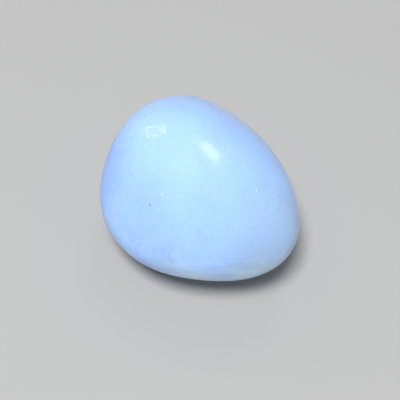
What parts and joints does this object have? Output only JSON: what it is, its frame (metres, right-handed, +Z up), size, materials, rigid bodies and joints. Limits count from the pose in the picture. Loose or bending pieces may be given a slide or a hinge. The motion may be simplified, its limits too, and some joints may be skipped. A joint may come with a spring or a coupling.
{
  "type": "tumbled aquamarine stone",
  "caption": "Polished pale blue tumbled stone, egg-shaped with soft worn faces, lying on a small flat on its underside.",
  "frame": {"origin": "on the surface the stone lies on, under the middle of its length and width", "axes": "+X along the length, from the blunt end to the narrow end; +Y across the width; +Z up, the stone's height"},
  "size_m": [0.028, 0.025, 0.0175],
  "materials": {
    "milky_beryl": "polished"
  },
  "bodies": {
    "root": {"tumbled_stone": "milky_beryl"}
  },
  "joints": []
}
